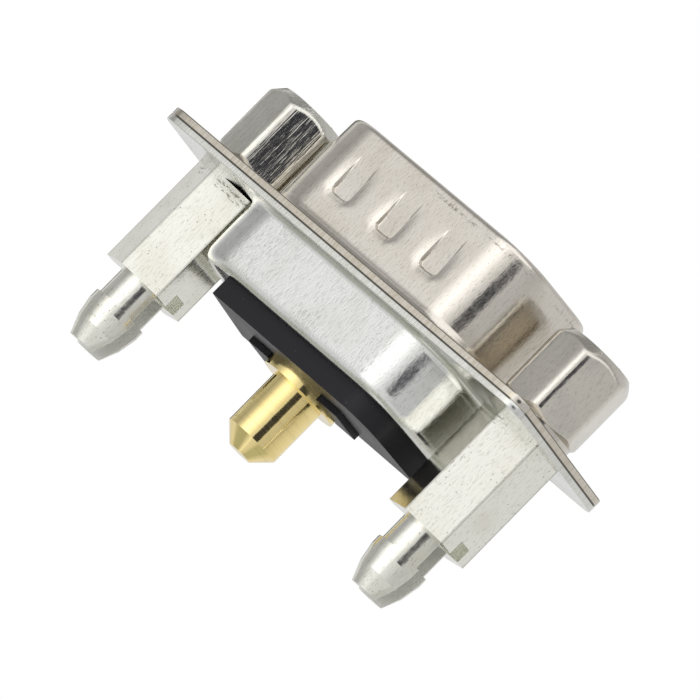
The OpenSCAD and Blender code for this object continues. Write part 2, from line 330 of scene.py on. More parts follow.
@dataclass(frozen=True)
class Loop:
    """Closed anticlockwise curve P(d) = C + n (r + d), offset outwards by d."""

    centres: Array
    normals: Array
    radius: float

    def at(self, offset: float) -> Array:
        """The curve's points at one offset."""
        return self.centres + self.normals * (self.radius + offset)

    def inside(self, points: Array, offset: float) -> Array:
        """Which points lie within the convex curve: n . (p - P) < 0 for each of its points P."""
        reach = points @ self.normals.T - np.sum(self.normals * self.at(offset), axis=1)
        return np.max(reach, axis=1) < 0.0

    @classmethod
    def rounded(
        cls,
        corners: list[tuple[float, float, float, float]],
        radius: float,
        bend: int,
        spots: Callable[[Array, Array], Array],
    ) -> "Loop":
        """Joins round corners by straights.

        Args:
            corners: centre x and y, first angle and sweep in degrees of each corner, anticlockwise.
            radius: the corners' radius.
            bend: points to a corner.
            spots: gives each straight's inner points as shares of its length, from its two ends.

        Returns:
            The loop.
        """
        centres, normals = [], []
        for k, (x, y, start, sweep) in enumerate(corners):
            a = np.radians(np.linspace(start, start + sweep, bend))
            here, after = np.array((x, y)), np.array(corners[(k + 1) % len(corners)][:2])
            share = spots(here, after)[:, None]
            centres += [np.tile(here, (bend, 1)), here + share * (after - here)]
            turned = np.stack((np.cos(a), np.sin(a)), axis=1)
            normals += [turned, np.tile(turned[-1], (len(share), 1))]
        return cls(np.concatenate(centres), np.concatenate(normals), radius)


class Skin:
    """Collects the points and faces of one mesh."""

    def __init__(self) -> None:
        """Starts empty."""
        self.points: list[Array] = []
        self.faces: list[list[int]] = []
        self.count = 0

    def grid(self, block: Array) -> Array:
        """Adds a grid whose columns run round, the last joined to the first, and whose rows run along.

        Args:
            block: rows x columns x 3 points.

        Returns:
            The points' numbers, in the grid's shape.
        """
        rows, columns = block.shape[:2]
        index = np.arange(rows * columns).reshape(rows, columns) + self.count
        self.points.append(block.reshape(-1, 3))
        self.count += rows * columns
        ahead = np.roll(index, -1, axis=1)
        quads = np.stack((index[:-1], ahead[:-1], ahead[1:], index[1:]), axis=-1)
        self.faces += quads.reshape(-1, 4).tolist()
        return index

    def tube(self, block: Array) -> None:
        """Adds a grid and closes its first and last rows with a face each."""
        index = self.grid(block)
        self.faces += [index[0].tolist()[::-1], index[-1].tolist()]

    def sweep(self, loop: Loop, profile: Array) -> Array:
        """Adds the surface (C + n (r + d), z).

        Args:
            loop: the curve, which gives C, n and r.
            profile: the pairs (d, z), in metres.

        Returns:
            The points' numbers, a row for each pair.
        """
        flat = loop.centres[None] + loop.normals[None] * (loop.radius + profile[:, 0])[:, None, None]
        high = np.broadcast_to(profile[:, 1][:, None, None], (*flat.shape[:2], 1))
        return self.grid(np.concatenate((flat, high), axis=2))

    def fill(self, rings: list[Array], outside: Callable[[Array], Array], up: bool) -> None:
        """Fills between level rings with a constrained Delaunay triangulation.

        Args:
            rings: point numbers of the closed rings.
            outside: tells which of the triangles' middles are not part of the sheet.
            up: whether the faces look up.
        """
        number = np.concatenate(rings)
        flat = np.concatenate(self.points)[number][:, :2]
        starts = np.cumsum([0] + [len(r) for r in rings])
        spans = [np.arange(a, b) for a, b in zip(starts, starts[1:])]
        edges = np.concatenate([np.stack((span, np.roll(span, -1)), 1) for span in spans])
        made = delaunay_2d_cdt([Vector(p) for p in (flat / MM).tolist()], edges.tolist(), [], 0, WELD)
        origin = np.array([first[0] for first in made[3]])
        triangles = origin[np.array(made[2])]
        middle = flat[triangles].mean(axis=1)
        triangles = triangles[~outside(middle)]
        a, b, c = (flat[triangles[:, k]] for k in range(3))
        lean = (b[:, 0] - a[:, 0]) * (c[:, 1] - a[:, 1]) - (b[:, 1] - a[:, 1]) * (c[:, 0] - a[:, 0])
        wrong = (lean > 0.0) != up
        triangles[wrong] = triangles[wrong][:, ::-1]
        self.faces += number[triangles].tolist()

    def piece(self, name: str, sharp: float = 40.0) -> bpy.types.Object:
        """Makes the object.

        Args:
            name: its name.
            sharp: angle in degrees past which an edge isn't smoothed.

        Returns:
            The object.
        """
        mesh = bpy.data.meshes.new(name)
        mesh.from_pydata(np.concatenate(self.points).tolist(), [], self.faces)
        mesh.polygons.foreach_set("use_smooth", np.ones(len(mesh.polygons), dtype=bool))
        mesh.set_sharp_from_angle(angle=math.radians(sharp))
        mesh.update()
        made = bpy.data.objects.new(name, mesh)
        bpy.context.scene.collection.objects.link(made)
        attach(made, "root")
        return made


@dataclass(frozen=True)
class Sheet:
    """Sizes that the two pressed shells share, in millimetres, and how fine their meshes are."""

    hole_x: float = 12.495
    hole_r: float = 1.55
    half_l: float = 15.405
    half_w: float = 6.275
    corner_r: float = 1.2
    edge: float = 0.05
    strip: float = 0.15
    slant: float = 10.0
    bend: int = 30
    end_steps: int = 8
    flange_bend: int = 9
    flange_steps: int = 24
    hole_points: int = 48
    edge_points: int = 5
    fillet_points: int = 12
    coarse: float = 0.3
    fine: float = 0.035
    fine_reach: float = 0.24

    def d_loop(self, wide: float, high: float, radius: float, near: list[float]) -> Loop:
        """D-shaped loop, with points gathered near the given x on its long sides.

        Args:
            wide: full width.
            high: full height.
            radius: corner radius.
            near: x values in millimetres where the long sides need fine points.

        Returns:
            The loop, in metres.
        """
        y = high / 2.0 - radius
        x = wide / 2.0 - radius
        inner = x - 2.0 * y * math.tan(math.radians(self.slant))
        end, side = 90.0 + self.slant, 90.0 - self.slant
        corners = [
            (x, y, -self.slant, end),
            (-x, y, 90.0, end),
            (-inner, -y, 180.0 + self.slant, side),
            (inner, -y, 270.0, side),
        ]

        def spots(here: Array, after: Array) -> Array:
            """Places the points of one straight.

            Args:
                here: its first end.
                after: its last end.

            Returns:
                The inner points, as shares of its length.
            """
            if abs(here[1] - after[1]) > WELD * MM:
                return np.linspace(0.0, 1.0, self.end_steps + 1)[1:-1]
            lo, hi = sorted((here[0] / MM, after[0] / MM))
            x_mm = stations(lo, hi, self.coarse, self.fine, near, self.fine_reach)[1:-1]
            share = (x_mm * MM - here[0]) / (after[0] - here[0])
            return np.sort(share)

        metres = [(cx * MM, cy * MM, start, sweep) for cx, cy, start, sweep in corners]
        return Loop.rounded(metres, radius * MM, self.bend, spots)

    def outline(self) -> Loop:
        """Draws the flange's rounded rectangle.

        Returns:
            The loop, in metres.
        """
        x, y = (self.half_l - self.corner_r) * MM, (self.half_w - self.corner_r) * MM
        corners = [(x, y, 0.0, 90.0), (-x, y, 90.0, 90.0), (-x, -y, 180.0, 90.0), (x, -y, 270.0, 90.0)]
        even = np.linspace(0.0, 1.0, self.flange_steps + 1)[1:-1]
        return Loop.rounded(corners, self.corner_r * MM, self.flange_bend, lambda here, after: even)

    def hole(self, side: float) -> Loop:
        """Draws a mounting hole's circle.

        Args:
            side: -1 for the left hole and 1 for the right.

        Returns:
            The loop, in metres.
        """
        a = np.linspace(0.0, 2.0 * np.pi, self.hole_points, endpoint=False)
        turned = np.stack((np.cos(a), np.sin(a)), axis=1)
        centres = np.tile((side * self.hole_x * MM, 0.0), (self.hole_points, 1))
        return Loop(centres, turned, self.hole_r * MM)

    def flange(self, skin: Skin, wall: Loop, reach: float, top: Array, low: Array, z: Pair) -> None:
        """Adds the flange round a swept wall.

        Args:
            skin: the mesh.
            wall: the wall's loop.
            reach: offset in metres at which the wall's sweep meets the flange.
            top: numbers of the wall's ring in the flange's upper face.
            low: numbers of its ring in the lower face.
            z: heights of the lower and upper faces in millimetres.
        """
        e, s, count = self.edge, self.strip, self.edge_points
        z0, z1 = z
        edge = np.concatenate(
            (
                line((-e - s, z0), (-e, z0)),
                arc((-e, z0 + e), e, -90.0, 0.0, count)[1:],
                arc((-e, z1 - e), e, 0.0, 90.0, count),
                line((-e, z1), (-e - s, z1))[1:],
            )
        )
        mouth = np.concatenate(
            (
                line((e + s, z1), (e, z1)),
                arc((e, z1 - e), e, 90.0, 180.0, count)[1:],
                arc((e, z0 + e), e, 180.0, 270.0, count),
                line((e, z0), (e + s, z0))[1:],
            )
        )
        rings = [skin.sweep(self.outline(), edge * MM)]
        holes = [self.hole(side) for side in (-1.0, 1.0)]
        rings += [skin.sweep(hole, mouth * MM) for hole in holes]

        def outside(points: Array) -> Array:
            """Finds the points that are not on the flange.

            Args:
                points: a point to each row.

            Returns:
                Which of them lie within the wall's loop or a hole.
            """
            gone = wall.inside(points, reach)
            for hole in holes:
                gone |= hole.inside(points, (e + s) * MM)
            return gone

        skin.fill([rings[0][-1], top, rings[1][0], rings[2][0]], outside, True)
        skin.fill([rings[0][0], low, rings[1][-1], rings[2][-1]], outside, False)


@dataclass(frozen=True)
class FrontShell(Sheet):
    """Plug shell: swept wall with a rounded rim, grounding dimples and a flange."""

    wide: float = 16.92
    high: float = 8.36
    radius: float = 2.59
    t: float = 0.45
    fillet: float = 0.6
    back: float = 7.7
    face: float = 8.15
    rim: float = 14.45
    rim_r: float = 0.35
    bow: float = 0.05
    pitch: float = 3.8
    dimple_w: float = 1.4
    dimple_l: float = 2.7
    dimple_z: float = 10.27
    dimple_x: float = -0.3
    dimple_r: float = 0.35
    depth: float = 0.3
    lead: float = 0.5
    lead_share: float = 0.27
    step: Pair = (0.05, -0.04)
    run_out: Pair = (0.1, 1.0)
    mouth_edge: float = 0.02
    rise: float = 0.16
    rim_points: int = 9

    def dimple(self, x: Array, z: Array) -> Array:
        """Works out how far the long sides are pressed in.

        With q the distance outside a box that is rounded at its rear corners and open towards the
        rim, the depth is D f(z) (k s(q) + (1 - k) c(q)). s falls smoothly from 1 to 0 over the
        lead, c does so over the step, k is the lead's share, and f fades towards the rim. The row
        stands a little to the left of the middle.

        Args:
            x: places along the row.
            z: heights.

        Returns:
            The depths. All are in millimetres.
        """
        middles = self.dimple_x + self.pitch * np.array((-1.0, 0.0, 1.0))
        across = np.abs(x[..., None] - middles).min(axis=-1) - self.dimple_w / 2.0
        behind = self.dimple_z - z
        r = self.dimple_r
        q = np.hypot(np.maximum(across + r, 0.0), np.maximum(behind + r, 0.0)) - r
        q = np.maximum(q, np.minimum(np.maximum(across, behind), 0.0))
        crisp = smooth(self.step[0], self.step[1], q)
        shape = self.lead_share * smooth(self.lead, 0.0, q) + (1.0 - self.lead_share) * crisp
        fade = 1.0 - smooth(self.run_out[0], self.run_out[1], (z - self.dimple_z) / self.dimple_l)
        return self.depth * shape * fade

    def profile(self) -> Array:
        """Draws the section: a bowed wall with a rounded rim and a fillet at its foot.

        Returns:
            Offsets and heights in millimetres, from the flange's face over the rim to its back.
        """
        reach = self.t + self.fillet
        root = self.face + self.fillet
        z = stations(root, self.rim - self.rim_r, self.rise, self.fine, [self.dimple_z], self.fine_reach)
        bulge = bowed(z, root, self.rim, self.bow)
        outer = np.stack((self.t + bulge, z), axis=1)
        inner = np.stack((0.0 * z, z), axis=1)[::-1]
        crown = self.t + bulge[-1]
        e = self.mouth_edge
        return np.concatenate(
            (
                line((reach + self.strip, self.face), (reach, self.face)),
                arc((reach, root), self.fillet, -90.0, -170.0, self.fillet_points)[1:],
                outer,
                arc((crown - self.rim_r, self.rim - self.rim_r), self.rim_r, 10.0, 90.0, self.rim_points),
                line((2.0 * e, self.rim), (e, self.rim)),
                line((0.0, self.rim - e), (0.0, self.rim - 2.5 * e)),
                inner,
                arc((reach, root), reach, 190.0, 270.0, self.fillet_points),
                line((reach, self.back), (reach + self.strip, self.back))[1:],
            )
        )

    def build(self) -> bpy.types.Object:
        """Makes the shell.

        Each point is (C + n (r + d - D(x, z)), z), where D presses the dimples in on the long sides.

        Returns:
            The shell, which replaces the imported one.
        """
        middles = [self.dimple_x + k * self.pitch for k in (-1, 0, 1)]
        edges = [middle + sign * self.dimple_w / 2.0 for middle in middles for sign in (-1.0, 1.0)]
        loop = self.d_loop(self.wide, self.high, self.radius, edges)
        profile = self.profile()
        skin = Skin()
        index = skin.sweep(loop, profile * MM)
        block = skin.points[0].reshape(*index.shape, 3)
        pressed = self.dimple(block[..., 0] / MM, block[..., 2] / MM) * MM
        long_side = np.abs(loop.normals[:, 1]) > 1.0 - STRAIGHT
        block[..., 1] -= np.where(long_side, np.sign(loop.normals[:, 1]), 0.0)[None] * pressed
        skin.points[0] = block.reshape(-1, 3)
        reach = (self.t + self.fillet + self.strip) * MM
        self.flange(skin, loop, reach, index[0], index[-1], (self.back, self.face))
        made = skin.piece("plug_shell")
        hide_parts("front_shell")
        return made


@dataclass(frozen=True)
class RearShell(Sheet):
    """Rear cup: swept wall with a rim turned inwards, and a flange."""

    wide: float = 18.40
    high: float = 9.90
    radius: float = 2.8
    t: float = 0.40
    fillet: float = 0.5
    back: float = 7.3
    face: float = 7.7
    rear: float = 3.1
    lip: float = 0.85
    lip_edge: float = 0.06
    bend_in: float = 0.15
    bend_tall: float = 0.8
    bow: float = 0.03
    wall_rows: int = 26
    inner_rows: int = 12
    curl_points: int = 14
    lip_points: int = 4
    lip_rows: int = 3
    bend_points: int = 6

    def profile(self) -> Array:
        """Draws the section: a bowed wall whose rear rim turns in on a quarter ellipse.

        Returns:
            Offsets and heights in millimetres, from the flange's face round the cup to its back.
        """
        reach = self.t + self.fillet
        mouth = self.face - reach
        low = self.rear + self.t + self.bend_in
        high = self.rear + self.bend_tall
        z = np.linspace(high, mouth, self.wall_rows)
        bulge = bowed(z, high, mouth, self.bow)
        outer = np.stack((self.t + bulge, z), axis=1)
        start = self.t + bulge[0]
        curl = self.t + self.bend_in
        tip = self.t - self.lip
        e = self.lip_edge
        return np.concatenate(
            (
                line((reach + self.strip, self.face), (reach, self.face)),
                arc((reach, mouth), reach, 90.0, 180.0, self.curl_points)[1:],
                line((0.0, mouth), (0.0, low), self.inner_rows)[1:],
                arc((-self.bend_in, low), self.bend_in, 0.0, -90.0, self.bend_points)[1:],
                line((-self.bend_in, low - self.bend_in), (tip + e, low - self.bend_in), self.lip_rows)[1:],
                arc((tip + e, low - self.bend_in - e), e, 90.0, 180.0, self.lip_points)[1:],
                arc((tip + e, self.rear + e), e, 180.0, 270.0, self.lip_points),
                line((tip + e, self.rear), (start - curl, self.rear), self.lip_rows)[1:],
                arc((start - curl, high), curl, -90.0, 0.0, self.curl_points, self.bend_tall)[1:],
                outer[1:],
                arc((reach, mouth), self.fillet, 180.0, 90.0, self.fillet_points),
                line((reach, self.back), (reach + self.strip, self.back))[1:],
            )
        )

    def build(self) -> bpy.types.Object:
        """Makes the cup: the surface (C + n (r + d), z) of its profile.

        Returns:
            The cup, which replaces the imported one.
        """
        loop = self.d_loop(self.wide, self.high, self.radius, [])
        skin = Skin()
        index = skin.sweep(loop, self.profile() * MM)
        reach = (self.t + self.fillet + self.strip) * MM
        self.flange(skin, loop, reach, index[-1], index[0], (self.back, self.face))
        made = skin.piece("rear_cup")
        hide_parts("rear_shell")
        return made


def soft_least(values: list[Array], blend: float) -> Array:
    """Rounded minimum: -k log(sum of exp(-v / k)), with k the blend.

    Args:
        values: the arrays to take it of.
        blend: how far round it is, in the same unit as the values.

    Returns:
        The minimum, in the shape that the arrays broadcast to.
    """
    low = np.minimum.reduce(np.broadcast_arrays(*values))
    return low - blend * np.log(sum(np.exp((low - v) / blend) for v in values))


@dataclass(frozen=True)
class Screwlock:
    """Hexagon socket screw with turned ends, a threaded bore and a stud, in millimetres."""

    x: float
    turn: float
    across: float = 4.9
    corner_r: float = 2.71
    blend: float = 0.045
    seat: float = 8.5
    tall: float = 4.95
    front_r: float = 2.12
    front_slope: float = 0.90
    rear_r: float = 2.42
    rear_slope: float = 1.0
    face_rim: float = 0.10
    end_r: float = 0.3
    bore_r: float = 1.42
    bore_deep: float = 4.1
    bore_point: float = 0.15
    bore_sink: float = 0.16
    stud_r: float = 1.42
    stud_l: float = 5.0
    stud_fillet: float = 0.05
    stud_point: float = 0.3
    side_columns: int = 8
    side_share: float = 0.80
    edge_columns: int = 12
    edge_share: float = 0.84
    end_rows: int = 34
    end_zone: float = 1.1
    end_power: float = 1.6
    middle_rows: int = 8
    middle_start: float = 1.2

    def spacing(self) -> tuple[Array, Array]:
        """Places the mesh's columns and rows, closest together where the hexagon's edges are.

        Returns:
            Angles over one side of the hexagon in radians, 0 at its middle, and distances from
            either end of the hexagon up to its middle.
        """
        side = np.linspace(0.0, self.side_share, self.side_columns)
        half = np.concatenate((side, np.linspace(self.edge_share, 1.0, self.edge_columns)))
        angles = np.concatenate((-half[:0:-1], half[:-1])) * np.pi / 6.0
        end = np.linspace(0.0, 1.0, self.end_rows) ** self.end_power * self.end_zone
        middle = np.linspace(self.middle_start, self.tall / 2.0, self.middle_rows)
        return angles, np.concatenate((end, middle))

    def bore(self, top: float) -> Array:
        """Draws the bore, with a drilled point and a countersink.

        Args:
            top: height of the front face.

        Returns:
            Radii and heights, from the bore's floor to the front face's rim.
        """
        sunk = top - self.bore_deep
        e = self.bore_sink / 8.0
        return np.array(
            (
                (self.end_r, sunk - self.bore_point),
                (self.bore_r, sunk),
                (self.bore_r, top - self.bore_sink),
                (self.bore_r + e, top - self.bore_sink + 1.5 * e),
                (self.bore_r + self.bore_sink - e, top - 0.5 * e),
                (self.bore_r + self.bore_sink + 0.5 * e, top),
                (self.front_r - self.face_rim, top),
            )
        )

    def stud(self) -> Array:
        """Draws the stud, with a fillet under the head and a bevelled end.

        Returns:
            Radii and heights, from the rear face's rim to the stud's end.
        """
        low = self.seat - self.stud_l
        return np.array(
            (
                (self.rear_r - self.face_rim, self.seat),
                (self.stud_r + self.stud_fillet, self.seat),
                (self.stud_r, self.seat - self.stud_fillet),
                (self.stud_r, low + self.stud_point),
                (self.stud_r - self.stud_point, low),
                (self.end_r, low),
            )
        )

    def build(self, name: str, node: str) -> bpy.types.Object:
        """Makes the screwlock.

        The flanks are r(a, z) = least(h / cos(a'), R, f + s (top - z), g + s' (z - seat)), rounded
        where the four meet, with a' the angle from the nearest side's middle and h half the width
        across the sides. The rows of the bore and the stud are round.

        Args:
            name: the new piece's name.
            node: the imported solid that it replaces.

        Returns:
            The piece.
        """
        top = self.seat + self.tall
        side, near = self.spacing()
        around = np.tile(side, 6)
        angle = np.radians(self.turn) + np.repeat(np.arange(6), len(side)) * np.pi / 3.0 + around
        z = np.concatenate((top - near, (self.seat + near)[::-1]))[:, None]
        flank = soft_least(
            [
                self.across / 2.0 / np.cos(around)[None],
                np.array(self.corner_r),
                self.front_r + self.front_slope * (top - z),
                self.rear_r + self.rear_slope * (z - self.seat),
            ],
            self.blend,
        )
        bore, stud = self.bore(top), self.stud()
        turned = [np.tile(part[:, :1], (1, len(angle))) for part in (bore, stud)]
        r = np.concatenate((turned[0], flank, turned[1]))[::-1]
        rows = np.concatenate((bore[:, 1], z[:, 0], stud[:, 1]))[::-1]
        high = np.tile(rows[:, None], (1, len(angle)))
        skin = Skin()
        skin.tube(np.stack((self.x + r * np.cos(angle), r * np.sin(angle), high), axis=2) * MM)
        made = skin.piece(name, sharp=50.0)
        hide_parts(node)
        return made


@dataclass(frozen=True)
class Thread:
    """The 4-40 thread cut in a screwlock's bore, in millimetres."""

    x: float
    outer_r: float = 1.44
    crest_r: float = 1.15
    pitch: float = 0.635
    root_share: float = 0.92
    crest_share: float = 0.12
    top: float = 13.3
    turns: float = 6.0
    turn_points: int = 40
    run_out: float = 1.2
    end_share: float = 0.05

    def build(self, name: str) -> bpy.types.Object:
        """Makes the ridge: a trapezium swept along (r cos u, r sin u, top - p u / 2 pi).

        It sinks into the bore's wall over the run-out at either end.

        Args:
            name: the piece's name.

        Returns:
            The piece.
        """
        u = np.linspace(0.0, 2.0 * np.pi * self.turns, int(self.turn_points * self.turns))
        r = np.array((self.outer_r, self.crest_r, self.crest_r, self.outer_r))
        shares = np.array((-self.root_share, -self.crest_share, self.crest_share, self.root_share))
        z = shares / 2.0 * self.pitch
        height_share = smooth(0.0, self.run_out, u) * smooth(u[-1], u[-1] - self.run_out, u)
        ridge = self.end_share + (1.0 - self.end_share) * height_share[:, None]
        radius = self.outer_r + (r[None] - self.outer_r) * ridge
        height = self.top - self.pitch * u[:, None] / (2.0 * np.pi) + z[None]
        block = np.stack((self.x + radius * np.cos(u)[:, None], radius * np.sin(u)[:, None], height), axis=2)
        skin = Skin()
        skin.tube(block * MM)
        return skin.piece(name, sharp=30.0)


# ---- finishes -----------------------------------------------------------------------------


@dataclass(frozen=True)
class Mottle:
    """Noise that leaves spots.

    It has scale features per metre, drawn out by stretch, and a spot fades in between two levels.
    """

    scale: float
    fade: Pair
    stretch: Triple = (1.0, 1.0, 1.0)
    detail: float = 2.0
    rough: float = 0.5

    def noise(self, g: Graph) -> Value:
        """The noise, 0..1."""
        return g.noise(g.place(self.stretch), self.scale, self.detail, self.rough)

    def mask(self, g: Graph) -> Value:
        """The spots: 0 between them and 1 on them."""
        return self.noise(g).step(*self.fade)


class Grain(Enum):
    """Marks of making: stretch, scale, detail and roughness of the short marks and of the long."""

    DRAWN = (((1.0, 1.0, 0.34), 1.0, 2.0, 0.55), ((1.0, 1.0, 0.05), 0.7, 2.0, 0.6))
    TURNED = (((0.02, 0.02, 1.0), 1.5, 3.0, 0.6), ((0.05, 0.05, 1.0), 0.4, 2.0, 0.5))


# Each mark's spots, and the two distances or heights between which it fades in.
STAINS = Mottle(420.0, (0.42, 0.72), detail=3.0)  # clouds of tarnish
GROOVES = (0.50, 0.26)  # noise levels of the grain at which its grooves darken
PITS = Mottle(900.0, (0.46, 0.58))  # areas that have pits
PIT_SCALE = 5200.0
PIT_STRETCH = (1.0, 1.0, 0.6)
# Painted shade: speckled dark bands at set heights, made of these grains in these stretches
PAINTED_SHADE_GRAINS = Mottle(9000.0, (0.46, 0.62), (0.5, 0.5, 1.0))
PAINTED_SHADE_LENGTHS = Mottle(420.0, (0.48, 0.60), (1.0, 1.0, 0.1))  # stretches that get painted shade
PAINTED_SHADE_BAND = (0.16 * MM, 0.02 * MM)  # above and below its height
SMUDGES = Mottle(300.0, (0.50, 0.66), (1.0, 1.0, 1.3))
SMUDGE_DOTS = Mottle(14000.0, (0.54, 0.64), (1.0, 1.0, 0.25))
SHEAR = Mottle(7000.0, (0.38, 0.66), (1.0, 1.0, 0.08), rough=0.6)  # lines across the cut edge
SHEARED_IN = (0.095 * MM, 0.035 * MM)  # inside the flange's outline
SEAM_BAND = (0.055 * MM, 0.030 * MM)  # above and below its height
CORNER_BAND = (0.06 * MM, 0.02 * MM)  # inside the corners' radius
SLOT_LIGHT_BAND = (0.03 * MM, 0.01 * MM)  # outside the slot's walls, where its painted light fades out
SLOT_LIGHT_TOP = (0.94 * MM, 0.92 * MM)  # the slot's blind end, where its painted light stops
PIN_BAND = (0.86 * MM, 0.70 * MM)  # from the middle plane, on the rougher inside of the pins
PIN_TOP = (0.0, -0.05 * MM)  # where the pins start


@dataclass(frozen=True)
class Plating:
    """A plated metal surface with drawing or turning marks, pits, stains, dark lines, speckled bands of
    painted shade and a sawn slot brightened with painted light.

    Depths, sizes and heights are in metres. A share says how far a mark changes the colour, a tone
    how dark it is beside the stain, and a value named rough how far it changes the roughness.
    """

    name: str
    colour: Triple
    stain: Triple
    roughness: float
    grain: Grain = Grain.DRAWN
    grain_depth: float = 0.0045 * MM
    grain_size: float = 0.11 * MM
    long_depth: float = 0.002 * MM
    peel_depth: float = 0.004 * MM
    peel_size: float = 0.5 * MM
    stain_share: float = 0.35
    groove_share: float = 0.28
    groove_tone: float = 0.50
    dark_share: float = 0.8
    dark_tone: float = 0.16
    pit_share: float = 0.07
    pit_soft: float = 1.7
    smudge: float = 0.0
    # Painted shade: how dark it is, and the heights of its speckled bands
    painted_shade: float = 0.8
    painted_shade_heights: tuple[float, ...] = ()
    seam: float = 0.9
    seams: tuple[float, ...] = ()
    sheared: Pair = (0.30, 0.85)
    corner: float = 0.45
    corner_r: float = 0.0
    # Half width of the sawn slot; where it is set, painted light brightens the slot
    sawn: float = 0.0
    slot_painted_light: Triple = (0.94, 0.94, 0.91)
    cloud_rough: float = 0.10
    line_rough: float = 0.16
    mark_rough: float = 0.25
    pin_rough: float = 0.40

    def rim(self, g: Graph) -> Value:
        """Mask of the flange's cut edge.

        Args:
            g: the material's graph.

        Returns:
            1 on the edge all round, 0 inside it.
        """
        ends = [
            g.axis(axis).size().step(*(half * MM - inset for inset in SHEARED_IN))
            for axis, half in ((1, Sheet.half_w), (0, Sheet.half_l))
        ]
        return ends[0].most(ends[1])

    def marks(self, g: Graph) -> Value:
        """Adds up the dark marks: pits, painted shade in speckled bands at set heights, smudges, seams in the
        rim and lines on corners.

        Args:
            g: the material's graph.

        Returns:
            0 on clean metal and 1 on the darkest marks.
        """
        specks = g.cells(g.place(PIT_STRETCH), PIT_SCALE)
        marks = specks.step(self.pit_share * self.pit_soft, self.pit_share) * PITS.mask(g)
        # Painted shade: a speckled dark band round each given height
        for height in self.painted_shade_heights:
            near = (g.axis(2) - height).size().step(*PAINTED_SHADE_BAND)
            marks = marks + near * PAINTED_SHADE_GRAINS.mask(g) * PAINTED_SHADE_LENGTHS.mask(g) * self.painted_shade
        if self.smudge:
            marks = marks + SMUDGES.mask(g) * SMUDGE_DOTS.mask(g) * self.smudge
        for height in self.seams:
            marks = marks + (g.axis(2) - height).size().step(*SEAM_BAND) * self.rim(g) * self.seam
        if self.corner_r:
            out = g.axis(0).size() - Sheet.hole_x * MM
            radius = (out * out + g.axis(1) * g.axis(1)) ** 0.5
            marks = marks + radius.step(*(self.corner_r - inset for inset in CORNER_BAND)) * self.corner
        return marks.least(1.0)

    def material(self) -> bpy.types.Material:
        """Mixes the metal's colour, roughness and relief from noise on the piece's own coordinates.

        Returns:
            The material.
        """
        made, g = blank(self.name)
        lines, long = (
            g.noise(g.place(stretch), share / self.grain_size, detail, rough)
            for stretch, share, detail, rough in self.grain.value
        )
        peel = g.noise(g.place(PIT_STRETCH), 1.0 / self.peel_size)
        cloud = STAINS.noise(g)
        marks = self.marks(g)
        grooved, dark = (tuple(tone * c for c in self.stain) for tone in (self.groove_tone, self.dark_tone))
        colour = g.mix(cloud.step(*STAINS.fade) * self.stain_share, self.colour, self.stain)
        colour = g.mix(lines.step(*GROOVES) * self.groove_share, colour, grooved)
        if self.seams:
            least, most = self.sheared
            colour = g.mix(self.rim(g) * (least + (most - least) * SHEAR.mask(g)), colour, self.stain)
        # The dark marks darken the colour, and the bands of painted shade are among them
        colour = g.mix(marks * self.dark_share, colour, dark)
        rough = self.roughness + self.cloud_rough * (cloud - 0.5) + self.line_rough * (lines - 0.5)
        rough = rough + self.mark_rough * marks
        # Painted light: below the slot's blind end, everything within the slot's width gets a pale colour
        # that brightens the sawn slot; the pins' inner sides get rougher
        if self.sawn:
            across, high = g.axis(1).size(), g.axis(2)
            cut = across.step(*(self.sawn + outset for outset in SLOT_LIGHT_BAND)) * high.step(*SLOT_LIGHT_TOP)
            colour = g.mix(cut, colour, self.slot_painted_light)
            rough = rough + self.pin_rough * across.step(*PIN_BAND) * high.step(*PIN_TOP)
        normal = g.bump(peel, self.peel_depth)
        normal = g.bump(long, self.long_depth, normal)
        normal = g.bump(lines, self.grain_depth, normal)
        inputs = {"Base Color": colour, "Metallic": 1.0, "Roughness": rough, "Normal": normal}
        shader = g.node("ShaderNodeBsdfPrincipled", None, inputs)
        g.node("ShaderNodeOutputMaterial", None, {"Surface": shader.outputs[0]})
        return made


@dataclass(frozen=True)
class Moulding:
    """Glass-filled black plastic, a little silky, with fine mottle."""

    name: str
    colour: Triple
    roughness: float
    dust: Triple = (0.22, 0.22, 0.24)
    dust_share: float = 0.25
    dust_scale: float = 1300.0
    dust_band: Pair = (0.06, 0.03)
    mottle_scale: float = 900.0
    mottle_share: float = 0.5
    mottle_tone: float = 1.5
    mottle_rough: float = 0.12
    skin_scale: float = 9000.0
    skin_depth: float = 0.0025 * MM
    skin_rough: float = 0.08
    shine: float = 0.26

    def material(self) -> bpy.types.Material:
        """Mixes the plastic's colour, roughness and relief from noise.

        Returns:
            The material.
        """
        made, g = blank(self.name)
        skin = g.noise(g.place(), self.skin_scale, detail=3.0, rough=0.6)
        mottle = g.noise(g.place(), self.mottle_scale, detail=3.0)
        dust = g.cells(g.place(), self.dust_scale).step(*self.dust_band)
        pale = tuple(self.mottle_tone * c for c in self.colour)
        colour = g.mix(mottle * self.mottle_share, self.colour, pale)
        colour = g.mix(dust * self.dust_share, colour, self.dust)
        rough = self.roughness + self.mottle_rough * (mottle - 0.5) + self.skin_rough * (skin - 0.5)
        inputs = {"Base Color": colour, "Roughness": rough, "Specular IOR Level": self.shine}
        shader = g.node("ShaderNodeBsdfPrincipled", None, {**inputs, "Normal": g.bump(skin, self.skin_depth)})
        g.node("ShaderNodeOutputMaterial", None, {"Surface": shader.outputs[0]})
        return made


# ---- studio -------------------------------------------------------------------------------


